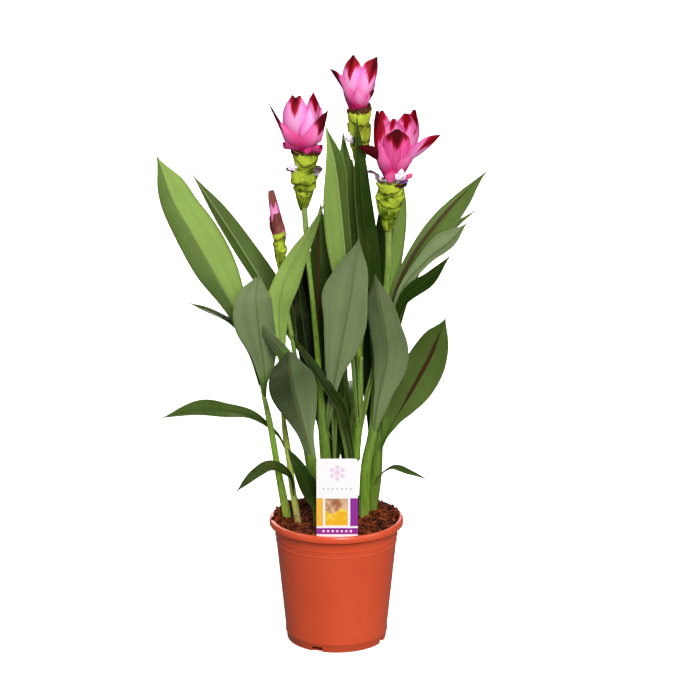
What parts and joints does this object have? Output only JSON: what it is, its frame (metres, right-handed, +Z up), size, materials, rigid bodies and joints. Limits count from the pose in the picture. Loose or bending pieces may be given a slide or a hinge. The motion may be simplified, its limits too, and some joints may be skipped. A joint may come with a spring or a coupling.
{
  "type": "potted siam tulip",
  "caption": "Siam tulip in a round nursery pot: upright pointed leaves on bare sheathed stems, pink bract heads above green pouches, and a plain card label.",
  "frame": {"origin": "on the floor under the middle of the pot", "axes": "+Z up along the pot's axis; the label faces -Y and the pink head that opens widest is towards +X"},
  "size_m": [0.292, 0.1983, 0.5307],
  "materials": {
    "pot_plastic": "satin terracotta-coloured plastic",
    "peat": "moist dark peat with coir fibres",
    "label_card": "smooth printed plastic card",
    "leaf": "satin mid-green leaf with a paler underside",
    "green_bract": "satin yellow-green bract",
    "pink_bract": "velvety pink bract with dark red tips",
    "white_petal": "thin white petal with a violet lip",
    "wilted_petal": "shrivelled dark violet petal"
  },
  "bodies": {
    "root": {"pot": "pot_plastic", "potting_soil": "peat", "plant_label": "label_card", "leafy_shoot_far_left": "leaf", "leafy_shoot_left": "leaf", "leafy_shoot_front": "leaf", "leafy_shoot_middle": "leaf", "leafy_shoot_tall": "leaf", "leafy_shoot_right": "leaf", "leafy_shoot_far_right": "leaf", "leafy_shoot_back": "leaf", "left_green_bracts": "green_bract", "top_green_bracts": "green_bract", "right_green_bracts": "green_bract", "bud_green_bracts": "green_bract", "left_pink_bracts": "pink_bract", "top_pink_bracts": "pink_bract", "right_pink_bracts": "pink_bract", "bud_pink_bracts": "pink_bract", "white_flower_left": "white_petal", "pink_flower_top": "white_petal", "white_flower_right": "white_petal", "wilted_flower_left": "wilted_petal", "wilted_flower_right": "wilted_petal"}
  },
  "joints": []
}
